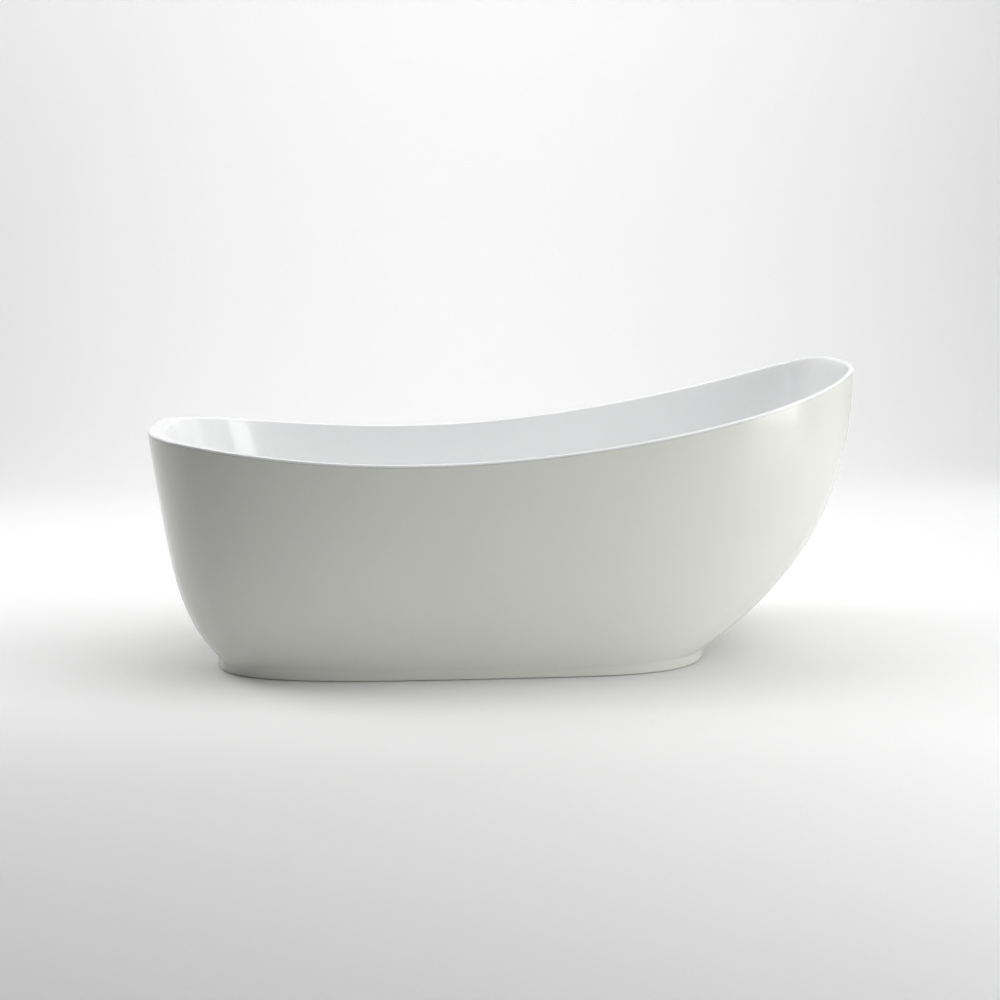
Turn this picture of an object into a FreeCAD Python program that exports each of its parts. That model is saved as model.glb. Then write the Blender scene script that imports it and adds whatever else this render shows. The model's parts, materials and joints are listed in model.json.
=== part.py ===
import FreeCAD, Part
import math
import os
from FreeCAD import Placement, Rotation, Vector

# Freestanding slipper bathtub: a thin outer skirt and a deeper-sloped inner basin joined
# along a thin rolled rim, carried by a welded steel frame on four levelling feet.
# +X runs from the low foot end to the high head end, +Z is up, and the origin is on the
# floor under the middle of the tub. All sizes are in millimetres.

# ---- driving dimensions ------------------------------------------------------------
TUB_LENGTH = 1700.0
SKIRT_GAP = 2.0                # skirt edge above the floor
PLINTH_TOP = 25.0              # height of the straight plinth band
HULL_TOP = 745.0               # the body surface is drawn to here, then trimmed by the rim

# Side-view and plan outlines of the body, as Bezier control values evenly spaced in
# height between the plinth top and the hull top.
FOOT_PROFILE = (-700.0, -862.0, -767.0, -904.0, -830.0)
HEAD_PROFILE = (499.0, 757.0, 833.0, 859.0, 848.0)
HALF_WIDTHS = (320.0, 396.0, 384.0, 403.0, 400.0)
# How square the ends are in plan, at the plinth and at the hull top (2 would be an ellipse).
FOOT_SQUARENESS = (4.15, 3.1)
HEAD_SQUARENESS = (3.15, 3.3)
WIDEST_STATION = (92.0, 30.0)
# Rim height along the tub, Bezier control values evenly spaced over its length.
RIM_HEIGHTS = (569.0, 536.0, 482.0, 503.0, 560.0, 589.0, 720.0)

SKIRT_THICKNESS = 4.0
BASIN_THICKNESS = 4.5
LIP_HEIGHT = 6.0               # depth of the basin's flange over the skirt's top edge
LIP_JOINT = 0.5                # open joint between the rim and the skirt's top edge
RIM_WIDTH_SIDE = 12.5
RIM_WIDTH_HEAD = 11.0
RIM_WIDTH_FOOT = 38.0          # flat deck at the low end
FOOT_WALL_LEAN = 0.22          # the basin's foot wall leans in more than the skirt
WALL_SPREAD = 30.0             # extra gap between basin and skirt at floor level
SPREAD_TOP = 480.0             # the walls run parallel above this height
FLOOR_HEIGHT = 130.0           # bathing floor
FLOOR_RADIUS = 110.0           # cove between the floor and the walls
FLANGE_WIDTH = 25.0            # skirt's inward bottom flange
FLANGE_THICKNESS = 5.0
GLUE_GAP = 0.3
BOND_TOP = 4.0                 # seam below the rim's underside
BOND_HEIGHT = 30.0

LAMINATE_THICKNESS = 4.0
BOARD_THICKNESS = 12.0
BOARD_X = (-440.0, 400.0)
BOARD_HALF_WIDTH = 150.0
BOARD_CORNER = 100.0
BOARD_DRAIN_HOLE = 46.0
SCREW_TIP_COVER = 1.0          # board left above the tips of the floor screws

TUBE_SIZE = 30.0
TUBE_WALL = 2.0
CROSSBAR_X = (-500.0, 330.0)
CROSSBAR_HALF_LENGTH = 222.0
RAIL_Y = 100.0
TAB_X = (-300.0, 0.0, 250.0)
TAB_LENGTH = 40.0
TAB_WIDTH = 26.0
TAB_THICKNESS = 3.0
SCREW_RADIUS = 2.5
SCREW_LENGTH = 11.0
SCREW_HEAD_RADIUS = 5.0
SCREW_HEAD_HEIGHT = 3.0
SCREW_HEAD_TAPER = 1.0
PLUG_FACE = 3.0
PLUG_DEPTH = 8.0
FIT = 0.05                     # radial clearance of threads and running fits

FOOT_Y = 205.0
STUD_RADIUS = 6.0
STUD_TOP = 100.0
STUD_CHAMFER = 1.0
STUD_CLEARANCE = 0.5           # round the stud where it passes into the crossbar
NUT_FLATS = 18.0
WELD_NUT_HEIGHT = 10.0
LOCK_NUT_HEIGHT = 7.0
# Levelling foot's outline from its sole up, as (radius, height).
PAD_OUTLINE = ((20.5, 0.0), (22.0, 1.5), (22.0, 6.0), (19.0, 9.0), (11.0, 12.0), (10.0, 14.0))
PAD_SOCKET_FLOOR = 5.0
COLLAR_FLATS = 17.0
COLLAR_Z = (16.0, 23.0)

BLOCK_LENGTH = 60.0
BLOCK_HEIGHT = 30.0
BLOCK_INNER_Y = 262.0
BRACKET_THICKNESS = 3.0
BRACKET_WIDTH = 40.0
BRACKET_INNER_Y = 190.0
BRACKET_SCREW_SPREAD = 12.0
BRACKET_SCREW_LENGTH = 20.0

DRAIN_X = -370.0
THROAT_RADIUS = 18.0
SHANK_RADIUS = 22.0
SHANK_BOTTOM = 96.0
DRAIN_FLANGE_RADIUS = 36.0
DRAIN_FLANGE_THICKNESS = 3.0
DRAIN_FLANGE_CHAMFER = 2.0
THROAT_CHAMFER = (3.0, 2.0)    # width and depth of the funnel into the throat
GASKET_THICKNESS = 1.5
GASKET_INSET = 1.0
DRAIN_WASHER_THICKNESS = 3.0
LOCKNUT_HEIGHT = 8.0
LOCKNUT_FLATS = 68.0
GUIDE_HEIGHT = 5.0
GUIDE_BOSS_RADIUS = 5.0
GUIDE_ARM_WIDTH = 3.0
GUIDE_ANGLES = (60.0, 180.0, 300.0)
STEM_RADIUS = 3.0
STEM_BOTTOM = 90.0
STOPPER_LIFT = 9.5             # seal above the drain flange when open
# Stopper cap's outline above its seal, as (radius, height).
STOPPER_OUTLINE = ((30.0, 0.0), (30.0, 2.0), (28.0, 4.0), (15.0, 5.5), (0.0, 6.0))
SEAL_THICKNESS = 2.5
SEAL_INSET = 2.0
WASTE_RADIUS = 19.05           # 1 1/2 in tube
WASTE_BORE = 17.4
SOCKET_WALL = 3.5
SOCKET_DEPTH = 18.0
SOCKET_PLAY = 1.0              # a pipe stops this short of the end of its socket
WASTE_HEIGHT = 58.0            # centre line of the level waste run
WASTE_BEND = 30.0
SHOE_END_X = -440.0
SHOE_RIM = 86.0
SHOE_RIM_WALL = 4.5
TEE_X = -640.0
TEE_Z = (34.0, 92.0)
TEE_BRANCH = 42.0
TAILPIECE_Z = (3.0, 33.0)       # the bare stub below the tee
TAILPIECE_TOP = 44.0
TAILPIECE_NECK = 18.5
SPIGOT_LENGTH = 18.0
SPIGOT_WALL = 2.0
SLIP_NUT_LENGTH = 12.0
SLIP_NUT_WALL = 3.5

OVERFLOW_HEIGHT = 440.0
OVERFLOW_HOLE = 16.0
OVERFLOW_SHANK = 15.0
OVERFLOW_THROAT = 12.0
OVERFLOW_SHANK_END = -26.0
OVERFLOW_FLANGE_RADIUS = 31.0
OVERFLOW_FLANGE_THICKNESS = 3.0
OVERFLOW_FLANGE_CHAMFER = 1.0
OVERFLOW_WALL = 6.0            # space left for the leaning basin wall
OVERFLOW_SEAL = 2.0
OVERFLOW_NUT_HEIGHT = 6.0
# Overflow cover's outline from the middle of its back round to the middle of its face, as
# (radius, height above the wall).
COVER_OUTLINE = ((0.0, 9.0), (30.0, 9.0), (32.0, 7.0), (33.0, 7.0), (33.0, 10.0), (31.0, 12.0),
                 (16.5, 13.0), (0.0, 13.5))
COVER_PEG_CIRCLE = 22.0
COVER_PEG_RADIUS = 2.0
COVER_PEG_ANGLES = (30.0, 150.0, 270.0)
REAR_SEAL_WIDTH = 6.0
OVERFLOW_NUT_FLATS = 44.0
CHAMBER_RADIUS = 18.0
CHAMBER_Z = (-44.0, -15.0)
HOSE_RADIUS = 14.0
HOSE_BORE = 12.0
HOSE_START = 22.0              # along the overflow elbow's outlet
HOSE_LEAD = 70.0
HOSE_MIDDLE = Vector(-712, 0, 190)
HOSE_RISE = 32.0
HOSE_END_GAP = 1.0
HOSE_BENDS = (150.0, 60.0, 30.0)

OVAL_POINTS = 64
HULL_RINGS = 10
COVE_RINGS = 7
WALL_RINGS = 8
TOLERANCE = 1e-4
OVERCUT = 1.0                  # how far a cutting shape runs past the face that it cuts
WALL_REACH = 40.0              # a rod this long each way passes right through the foot wall
X_AXIS = Vector(1, 0, 0)
Z_AXIS = Vector(0, 0, 1)


# ---- the body's surface ------------------------------------------------------------
def bezier(values, t):
    """Value of a one-dimensional Bezier curve at t."""
    degree = len(values) - 1
    return sum(math.comb(degree, k) * t**k * (1 - t)**(degree - k) * v
               for k, v in enumerate(values))


def blend(pair, t):
    """Straight change from the first value at 0 to the second at 1."""
    return pair[0] + (pair[1] - pair[0]) * t


def hull_oval(z):
    """Foot end, head end, half width, widest station and squareness of the body at z."""
    t = (z - PLINTH_TOP) / (HULL_TOP - PLINTH_TOP)
    return (bezier(FOOT_PROFILE, t), bezier(HEAD_PROFILE, t), bezier(HALF_WIDTHS, t),
            blend(WIDEST_STATION, t), blend(FOOT_SQUARENESS, t), blend(HEAD_SQUARENESS, t))


def oval_points(z, foot_inset, side_inset, head_inset):
    """Points round the body at z, moved in by an inset at each end and at the sides."""
    foot, head, width, middle, foot_power, head_power = hull_oval(z)
    points = []
    for k in range(OVAL_POINTS):
        angle = 2 * math.pi * k / OVAL_POINTS
        c = math.cos(angle)
        s = math.sin(angle)
        power = head_power if c > 0 else foot_power
        reach = (abs(c)**power + abs(s)**power)**(-1 / power)
        half = head - head_inset - middle if c > 0 else middle - foot - foot_inset
        points.append(Vector(middle + half * c * reach, (width - side_inset) * s * reach, z))
    return points


def closed_curve(points):
    """Smooth closed curve through the points."""
    curve = Part.BSplineCurve()
    curve.interpolate(Points=points, PeriodicFlag=True,
                      Parameters=[float(k) for k in range(len(points) + 1)])
    return curve


def skin(rings):
    """Solid with a smooth side through the rings, closed by flat faces top and bottom."""
    curves = [closed_curve(ring) for ring in rings]
    heights = [float(k) for k in range(len(rings))]
    columns = []
    for pole in range(1, curves[0].NbPoles + 1):
        column = Part.BSplineCurve()
        column.interpolate(Points=[curve.getPole(pole) for curve in curves],
                           Parameters=heights)
        columns.append(column)
    surface = Part.BSplineSurface()
    surface.buildFromPolesMultsKnots(
        [column.getPoles() for column in columns],
        curves[0].getMultiplicities(), columns[0].getMultiplicities(),
        curves[0].getKnots(), columns[0].getKnots(), True, False, 3, columns[0].Degree)
    side = surface.toShape()
    ends = [edge for edge in side.Edges if edge.isClosed() and not edge.isSeam(side)]
    caps = [Part.Face(Part.Wire([edge])) for edge in ends]
    shell = Part.Shell([side] + caps)
    shell.sewShape()
    shell.fix(TOLERANCE, TOLERANCE, TOLERANCE)
    return Part.Solid(shell)


def level_prism(inset, bottom, top):
    """Straight-sided oval block of the plinth's outline."""
    edge = closed_curve(oval_points(PLINTH_TOP, inset, inset, inset)).toShape()
    edge.translate(Vector(0, 0, bottom - PLINTH_TOP))
    return Part.Face(Part.Wire([edge])).extrude(Vector(0, 0, top - bottom))


def hull_solid(inset):
    """The body from the plinth top to the hull top, moved in by an inset."""
    step = (HULL_TOP - PLINTH_TOP) / HULL_RINGS
    return skin([oval_points(PLINTH_TOP + k * step, inset, inset, inset)
                 for k in range(HULL_RINGS + 1)])


def basin_insets(z, wall):
    """How far the basin surface lies inside the body at z; wall moves it outwards."""
    spread = WALL_SPREAD * max(0.0, (SPREAD_TOP - z) / (SPREAD_TOP - FLOOR_HEIGHT))**2
    radius = FLOOR_RADIUS + wall
    rise = z - (FLOOR_HEIGHT - wall)
    cove = radius - math.sqrt(radius**2 - max(0.0, radius - rise)**2)
    lean = FOOT_WALL_LEAN * (RIM_HEIGHTS[0] - z)
    return (RIM_WIDTH_FOOT + lean + cove - wall,
            RIM_WIDTH_SIDE + spread + cove - wall,
            RIM_WIDTH_HEAD + spread + cove - wall)


def basin_solid(wall):
    """The bathing space, or with a wall thickness the outside of the basin."""
    radius = FLOOR_RADIUS + wall
    bottom = FLOOR_HEIGHT - wall
    heights = [bottom + radius * (1 - math.cos(math.pi / 2 * k / COVE_RINGS))
               for k in range(COVE_RINGS)]
    step = (HULL_TOP - bottom - radius) / WALL_RINGS
    heights += [bottom + radius + k * step for k in range(WALL_RINGS + 1)]
    return skin([oval_points(z, *basin_insets(z, wall)) for z in heights])


def under_rim(drop):
    """Everything below the rim line lowered by drop."""
    half = TUB_LENGTH / 2
    last = len(RIM_HEIGHTS) - 1
    poles = [Vector(-half + TUB_LENGTH * k / last, -half, z - drop)
             for k, z in enumerate(RIM_HEIGHTS)]
    curve = Part.BezierCurve()
    curve.setPoles(poles)
    low_head = Vector(half, -half, -half)
    low_foot = Vector(-half, -half, -half)
    outline = Part.Wire([curve.toShape(), Part.makeLine(poles[-1], low_head),
                         Part.makeLine(low_head, low_foot), Part.makeLine(low_foot, poles[0])])
    return Part.Face(outline).extrude(Vector(0, TUB_LENGTH, 0))


# ---- small shape helpers -----------------------------------------------------------
def box(x, y, z):
    """Box from its x, y and z spans."""
    return Part.makeBox(x[1] - x[0], y[1] - y[0], z[1] - z[0], Vector(x[0], y[0], z[0]))


def cylinder(radius, bottom, top, x=0.0, y=0.0):
    """Upright rod."""
    return Part.makeCylinder(radius, top - bottom, Vector(x, y, bottom))


def drill(radius, bottom, top, x=0.0, y=0.0):
    """Upright cutting rod that runs past both ends of its span."""
    return cylinder(radius, bottom - OVERCUT, top + OVERCUT, x, y)


def ring(outer, inner, bottom, top, x=0.0, y=0.0):
    """Flat washer."""
    return cylinder(outer, bottom, top, x, y).cut(drill(inner, bottom, top, x, y))


def prism(sides, flats, bottom, top, x=0.0, y=0.0):
    """Upright bar with a regular outline, such as a nut's hexagon."""
    corner = flats / 2 / math.cos(math.pi / sides)
    points = [Vector(x + corner * math.cos(2 * math.pi * k / sides),
                     y + corner * math.sin(2 * math.pi * k / sides), bottom)
              for k in range(sides + 1)]
    return Part.Face(Part.makePolygon(points)).extrude(Vector(0, 0, top - bottom))


def nut(flats, bore, bottom, top, x=0.0, y=0.0, sides=6):
    """Upright nut, its size given across its flats."""
    return prism(sides, flats, bottom, top, x, y).cut(drill(bore, bottom, top, x, y))


def revolved(outline, x=0.0, y=0.0):
    """Turned solid from (radius, height) corners, about the upright axis at x, y."""
    points = [Vector(x + radius, y, height) for radius, height in outline]
    face = Part.Face(Part.makePolygon(points + points[:1]))
    return face.revolve(Vector(x, y, 0), Z_AXIS, 360)


def floor_plate(bottom, top):
    """Plate under the bathing floor with round corners and room for the drain."""
    plate = box(BOARD_X, (-BOARD_HALF_WIDTH, BOARD_HALF_WIDTH), (bottom, top))
    upright = [edge for edge in plate.Edges if edge.tangentAt(0).cross(Z_AXIS).Length < TOLERANCE]
    plate = plate.makeFillet(BOARD_CORNER, upright)
    return plate.cut(drill(BOARD_DRAIN_HOLE, bottom, top, DRAIN_X))


def swept(path, radius):
    """Round bar along a wire of lines and arcs that meet without a corner."""
    start = path.Edges[0]
    direction = start.tangentAt(start.FirstParameter)
    circle = Part.Wire([Part.makeCircle(radius, start.valueAt(start.FirstParameter), direction)])
    return path.makePipeShell([circle], True, True)


def rounded_path(points, radii):
    """Wire of straight runs in the y = 0 plane joined by tangent arcs."""
    edges = []
    start = points[0]
    for corner, after, radius in zip(points[1:-1], points[2:], radii):
        back = (start - corner).normalize()
        ahead = (after - corner).normalize()
        half_angle = back.getAngle(ahead) / 2
        trim = radius / math.tan(half_angle)
        middle_way = (back + ahead).normalize()
        centre = corner + middle_way * (radius / math.sin(half_angle))
        enter = corner + back * trim
        leave = corner + ahead * trim
        edges.append(Part.makeLine(start, enter))
        edges.append(Part.Arc(enter, centre - middle_way * radius, leave).toShape())
        start = leave
    edges.append(Part.makeLine(start, points[-1]))
    return Part.Wire(edges)


# ---- shells ------------------------------------------------------------------------
HULL = hull_solid(0.0)
HULL_INSIDE = hull_solid(SKIRT_THICKNESS)
BASIN_SPACE = basin_solid(0.0)
BASIN_OUTSIDE = basin_solid(BASIN_THICKNESS)
FLOOR_UNDERSIDE = FLOOR_HEIGHT - BASIN_THICKNESS
LAMINATE_BOTTOM = FLOOR_UNDERSIDE - LAMINATE_THICKNESS
BOARD_BOTTOM = LAMINATE_BOTTOM - BOARD_THICKNESS
FRAME_BOTTOM = BOARD_BOTTOM - TUBE_SIZE


def outer_shell():
    """The skirt: a thin shell to the floor with a flange turned in along its bottom edge."""
    body = HULL.fuse(level_prism(0.0, SKIRT_GAP, PLINTH_TOP))
    body = body.common(under_rim(LIP_HEIGHT + LIP_JOINT)).cut(HULL_INSIDE)
    flange_top = SKIRT_GAP + FLANGE_THICKNESS
    body = body.cut(level_prism(SKIRT_THICKNESS, flange_top, PLINTH_TOP + OVERCUT))
    return body.cut(level_prism(SKIRT_THICKNESS + FLANGE_WIDTH, 0.0, flange_top + OVERCUT))


def inner_shell():
    """The basin: rim, walls and floor in one skin, with holes for the drain and overflow."""
    lip = HULL.common(under_rim(0.0)).cut(under_rim(LIP_HEIGHT))
    basin = BASIN_OUTSIDE.common(under_rim(LIP_HEIGHT / 2))
    shell = lip.fuse(basin).cut(BASIN_SPACE)
    shell = shell.cut(drill(SHANK_RADIUS + FIT, FLOOR_UNDERSIDE, FLOOR_HEIGHT, DRAIN_X))
    return shell.cut(overflow_place(cylinder(OVERFLOW_HOLE, -WALL_REACH, WALL_REACH)))


def floor_laminate():
    """Glass-fibre pad laid up against the underside of the bathing floor."""
    return floor_plate(LAMINATE_BOTTOM, FLOOR_UNDERSIDE)


def floor_board():
    """Particle-board panel with a blind hole for each fixing screw."""
    board = floor_plate(BOARD_BOTTOM, LAMINATE_BOTTOM)
    for x, y in tab_screw_places():
        hole = cylinder(SCREW_RADIUS + FIT, BOARD_BOTTOM - OVERCUT, LAMINATE_BOTTOM - SCREW_TIP_COVER, x, y)
        board = board.cut(hole)
    return board


# ---- steel frame -------------------------------------------------------------------
def tab_screw_places():
    """x and y of each fixing tab, beside the rails."""
    side = RAIL_Y + TUBE_SIZE / 2 + TAB_WIDTH / 2
    return [(x, sign * side) for x in TAB_X for sign in (-1, 1)]


def foot_places():
    """x and y of each levelling foot, foot end first."""
    return [(x, sign * FOOT_Y) for x in CROSSBAR_X for sign in (-1, 1)]


def around(middle, half):
    """Span centred on a value."""
    return (middle - half, middle + half)


def crossbar(x):
    """Square tube across the tub, with a hole below for the stud near each end."""
    half = TUBE_SIZE / 2
    inner = half - TUBE_WALL
    middle = FRAME_BOTTOM + half
    bar = box(around(x, half), around(0.0, CROSSBAR_HALF_LENGTH), (FRAME_BOTTOM, BOARD_BOTTOM))
    bar = bar.cut(box(around(x, inner), around(0.0, CROSSBAR_HALF_LENGTH + OVERCUT), around(middle, inner)))
    for side in (-1, 1):
        hole = cylinder(STUD_RADIUS + STUD_CLEARANCE, FRAME_BOTTOM - OVERCUT, middle, x, side * FOOT_Y)
        bar = bar.cut(hole)
    return bar


def rail(side):
    """Square tube along the tub, welded between the crossbars."""
    half = TUBE_SIZE / 2
    inner = half - TUBE_WALL
    y = side * RAIL_Y
    start = CROSSBAR_X[0] + half
    end = CROSSBAR_X[1] - half
    bar = box((start, end), around(y, half), (FRAME_BOTTOM, BOARD_BOTTOM))
    hollow = box((start - OVERCUT, end + OVERCUT), around(y, inner), around(FRAME_BOTTOM + half, inner))
    return bar.cut(hollow)


def fixing_tabs():
    """Flat plates welded to the rails, with a screw hole in each."""
    tabs = []
    for x, y in tab_screw_places():
        tab = box(around(x, TAB_LENGTH / 2), around(y, TAB_WIDTH / 2),
                  (BOARD_BOTTOM - TAB_THICKNESS, BOARD_BOTTOM))
        tabs.append(tab.cut(drill(SCREW_RADIUS + FIT, BOARD_BOTTOM - TAB_THICKNESS, BOARD_BOTTOM, x, y)))
    return Part.makeCompound(tabs)


def board_screws():
    """Pan-head screws up through the tabs into the floor panel."""
    seat = BOARD_BOTTOM - TAB_THICKNESS
    face = seat - SCREW_HEAD_HEIGHT
    outline = [(0, seat), (SCREW_HEAD_RADIUS, seat), (SCREW_HEAD_RADIUS - SCREW_HEAD_TAPER, face), (0, face)]
    return Part.makeCompound([
        revolved(outline, x, y).fuse(cylinder(SCREW_RADIUS, seat, seat + SCREW_LENGTH, x, y))
        for x, y in tab_screw_places()])


def tube_plugs():
    """Push-in plastic caps that close the crossbar ends."""
    half = TUBE_SIZE / 2
    inner = half - TUBE_WALL - FIT
    middle = FRAME_BOTTOM + half
    plugs = []
    for x in CROSSBAR_X:
        for side in (-1, 1):
            end = side * CROSSBAR_HALF_LENGTH
            face = sorted((end, end + side * PLUG_FACE))
            body = sorted((end, end - side * PLUG_DEPTH))
            cap = box(around(x, half), face, (FRAME_BOTTOM, BOARD_BOTTOM))
            plugs.append(cap.fuse(box(around(x, inner), body, around(middle, inner))))
    return Part.makeCompound(plugs)


def weld_nuts():
    """Nuts welded under the crossbars for the studs."""
    return Part.makeCompound([
        nut(NUT_FLATS, STUD_RADIUS + FIT, FRAME_BOTTOM - WELD_NUT_HEIGHT, FRAME_BOTTOM, x, y)
        for x, y in foot_places()])


def lock_nuts():
    """Thin nuts turned up against the weld nuts."""
    top = FRAME_BOTTOM - WELD_NUT_HEIGHT
    return Part.makeCompound([
        nut(NUT_FLATS, STUD_RADIUS + FIT, top - LOCK_NUT_HEIGHT, top, x, y)
        for x, y in foot_places()])


# ---- levelling feet ----------------------------------------------------------------
def foot_stud(x, y):
    """Threaded stud with a hexagonal collar for a spanner near its lower end."""
    shoulder = STUD_TOP - STUD_CHAMFER
    stud = cylinder(STUD_RADIUS, PAD_SOCKET_FLOOR + FIT, shoulder, x, y)
    stud = stud.fuse(prism(6, COLLAR_FLATS, COLLAR_Z[0], COLLAR_Z[1], x, y))
    point = Part.makeCone(STUD_RADIUS, STUD_RADIUS - STUD_CHAMFER, STUD_CHAMFER, Vector(x, y, shoulder))
    return stud.fuse(point)


def foot_pad(x, y):
    """Round plastic foot: a thick flat disc with a raised socket for the stud."""
    socket = STUD_RADIUS + FIT
    inside = [(socket, PAD_OUTLINE[-1][1]), (socket, PAD_SOCKET_FLOOR), (0, PAD_SOCKET_FLOOR)]
    return revolved([(0, 0), *PAD_OUTLINE, *inside], x, y)


# ---- skirt fixings -----------------------------------------------------------------
def bracket_screw_places():
    """x, side and height of each screw through a bracket's upright leg."""
    height = FRAME_BOTTOM + BLOCK_HEIGHT / 2
    return [(x + offset, 1 if y > 0 else -1, height) for x, y in foot_places()
            for offset in (-BRACKET_SCREW_SPREAD, BRACKET_SCREW_SPREAD)]


def sideways_rod(radius, start_y, end_y, x, side, height):
    """Level rod across the tub, its ends given as distances from the middle."""
    start = Vector(x, side * start_y, height)
    return Part.makeCylinder(radius, end_y - start_y, start, Vector(0, side, 0))


def bracket_screw_holes():
    """Cutting rods for all the bracket screws, through the brackets and into the blocks."""
    start = BLOCK_INNER_Y - BRACKET_THICKNESS - OVERCUT
    end = BLOCK_INNER_Y + BRACKET_SCREW_LENGTH + OVERCUT
    return [sideways_rod(SCREW_RADIUS + FIT, start, end, x, side, height)
            for x, side, height in bracket_screw_places()]


def skirt_blocks():
    """Blocks glued inside the skirt beside each crossbar end, shaped to its curve."""
    near_skirt = hull_solid(SKIRT_THICKNESS + GLUE_GAP)
    blocks = []
    for x, y in foot_places():
        side = 1 if y > 0 else -1
        span = sorted((side * BLOCK_INNER_Y, side * HALF_WIDTHS[-1]))
        block = box(around(x, BLOCK_LENGTH / 2), span, (FRAME_BOTTOM, FRAME_BOTTOM + BLOCK_HEIGHT))
        blocks.append(block.common(near_skirt).cut(Part.makeCompound(bracket_screw_holes())))
    return Part.makeCompound(blocks)


def skirt_brackets():
    """Steel angles welded on the crossbar ends, reaching out to the skirt blocks."""
    brackets = []
    for x, y in foot_places():
        side = 1 if y > 0 else -1
        wide = around(x, BRACKET_WIDTH / 2)
        face_y = BLOCK_INNER_Y - BRACKET_THICKNESS
        arm = box(wide, sorted((side * BRACKET_INNER_Y, side * BLOCK_INNER_Y)),
                  (BOARD_BOTTOM, BOARD_BOTTOM + BRACKET_THICKNESS))
        leg = box(wide, sorted((side * face_y, side * BLOCK_INNER_Y)), (FRAME_BOTTOM, BOARD_BOTTOM))
        brackets.append(arm.fuse(leg).cut(Part.makeCompound(bracket_screw_holes())))
    return Part.makeCompound(brackets)


def bracket_screws():
    """Screws from the brackets out into the skirt blocks."""
    face = BLOCK_INNER_Y - BRACKET_THICKNESS
    tip = BLOCK_INNER_Y + BRACKET_SCREW_LENGTH
    screws = []
    for place in bracket_screw_places():
        head = sideways_rod(SCREW_HEAD_RADIUS, face - SCREW_HEAD_HEIGHT, face, *place)
        shank = sideways_rod(SCREW_RADIUS, face - OVERCUT, tip, *place)
        screws.append(head.fuse(shank))
    return Part.makeCompound(screws)


def rim_bond():
    """Adhesive seam between the basin and the skirt, just under the rim."""
    top = LIP_HEIGHT + BOND_TOP
    seam = hull_solid(SKIRT_THICKNESS + GLUE_GAP).common(under_rim(top))
    return seam.cut(under_rim(top + BOND_HEIGHT)).cut(basin_solid(BASIN_THICKNESS + GLUE_GAP))


# ---- drain and stopper -------------------------------------------------------------
DRAIN_FACE = FLOOR_HEIGHT + GASKET_THICKNESS
DRAIN_TOP = DRAIN_FACE + DRAIN_FLANGE_THICKNESS
LOCKNUT_TOP = FLOOR_UNDERSIDE - DRAIN_WASHER_THICKNESS
LOCKNUT_BOTTOM = LOCKNUT_TOP - LOCKNUT_HEIGHT
SEAL_BOTTOM = DRAIN_TOP + STOPPER_LIFT
SOCKET_RADIUS = WASTE_RADIUS + SOCKET_WALL
TEE_BRANCH_END = TEE_X + TEE_BRANCH


def drain_flange():
    """Flanged throat through the floor, with a three-armed guide for the stopper's stem."""
    funnel_width, funnel_depth = THROAT_CHAMFER
    body = revolved([(THROAT_RADIUS, SHANK_BOTTOM), (SHANK_RADIUS, SHANK_BOTTOM),
                     (SHANK_RADIUS, DRAIN_FACE), (DRAIN_FLANGE_RADIUS, DRAIN_FACE),
                     (DRAIN_FLANGE_RADIUS, DRAIN_TOP - DRAIN_FLANGE_CHAMFER),
                     (DRAIN_FLANGE_RADIUS - DRAIN_FLANGE_CHAMFER, DRAIN_TOP),
                     (THROAT_RADIUS + funnel_width, DRAIN_TOP),
                     (THROAT_RADIUS, DRAIN_TOP - funnel_depth)], DRAIN_X)
    guide_top = SHANK_BOTTOM + GUIDE_HEIGHT
    for angle in GUIDE_ANGLES:
        arm = box((0, THROAT_RADIUS + OVERCUT), around(0.0, GUIDE_ARM_WIDTH / 2), (SHANK_BOTTOM, guide_top))
        arm.Placement = Placement(Vector(DRAIN_X, 0, 0), Rotation(Z_AXIS, angle))
        body = body.fuse(arm)
    body = body.fuse(cylinder(GUIDE_BOSS_RADIUS, SHANK_BOTTOM, guide_top, DRAIN_X))
    return body.cut(drill(STEM_RADIUS + FIT, SHANK_BOTTOM, guide_top, DRAIN_X))


def drain_gasket():
    """Thin rubber ring between the flange and the bathing floor."""
    return ring(DRAIN_FLANGE_RADIUS - GASKET_INSET, SHANK_RADIUS + FIT, FLOOR_HEIGHT, DRAIN_FACE, DRAIN_X)


def drain_washer():
    """Thick rubber ring under the bathing floor."""
    return ring(DRAIN_FLANGE_RADIUS, SHANK_RADIUS + FIT, LOCKNUT_TOP, FLOOR_UNDERSIDE, DRAIN_X)


def drain_locknut():
    """Eight-sided nut that draws the flange down."""
    return nut(LOCKNUT_FLATS, SHANK_RADIUS + FIT, LOCKNUT_BOTTOM, LOCKNUT_TOP, DRAIN_X, sides=8)


def stopper_cap():
    """Domed press-down plug."""
    cap = revolved([(0, 0), *STOPPER_OUTLINE])
    cap.translate(Vector(DRAIN_X, 0, SEAL_BOTTOM + SEAL_THICKNESS))
    return cap


def stopper_seal():
    """Rubber ring under the cap."""
    outer = STOPPER_OUTLINE[0][0] - SEAL_INSET
    return ring(outer, STEM_RADIUS + FIT, SEAL_BOTTOM, SEAL_BOTTOM + SEAL_THICKNESS, DRAIN_X)


def stopper_stem():
    """Stem that slides in the drain's guide."""
    return cylinder(STEM_RADIUS, STEM_BOTTOM, SEAL_BOTTOM + SEAL_THICKNESS, DRAIN_X)


def level_rod(radius, start_x, end_x):
    """Rod along the level waste run, from its drain end to its foot end."""
    return Part.makeCylinder(radius, start_x - end_x, Vector(start_x, 0, WASTE_HEIGHT), -X_AXIS)


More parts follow.
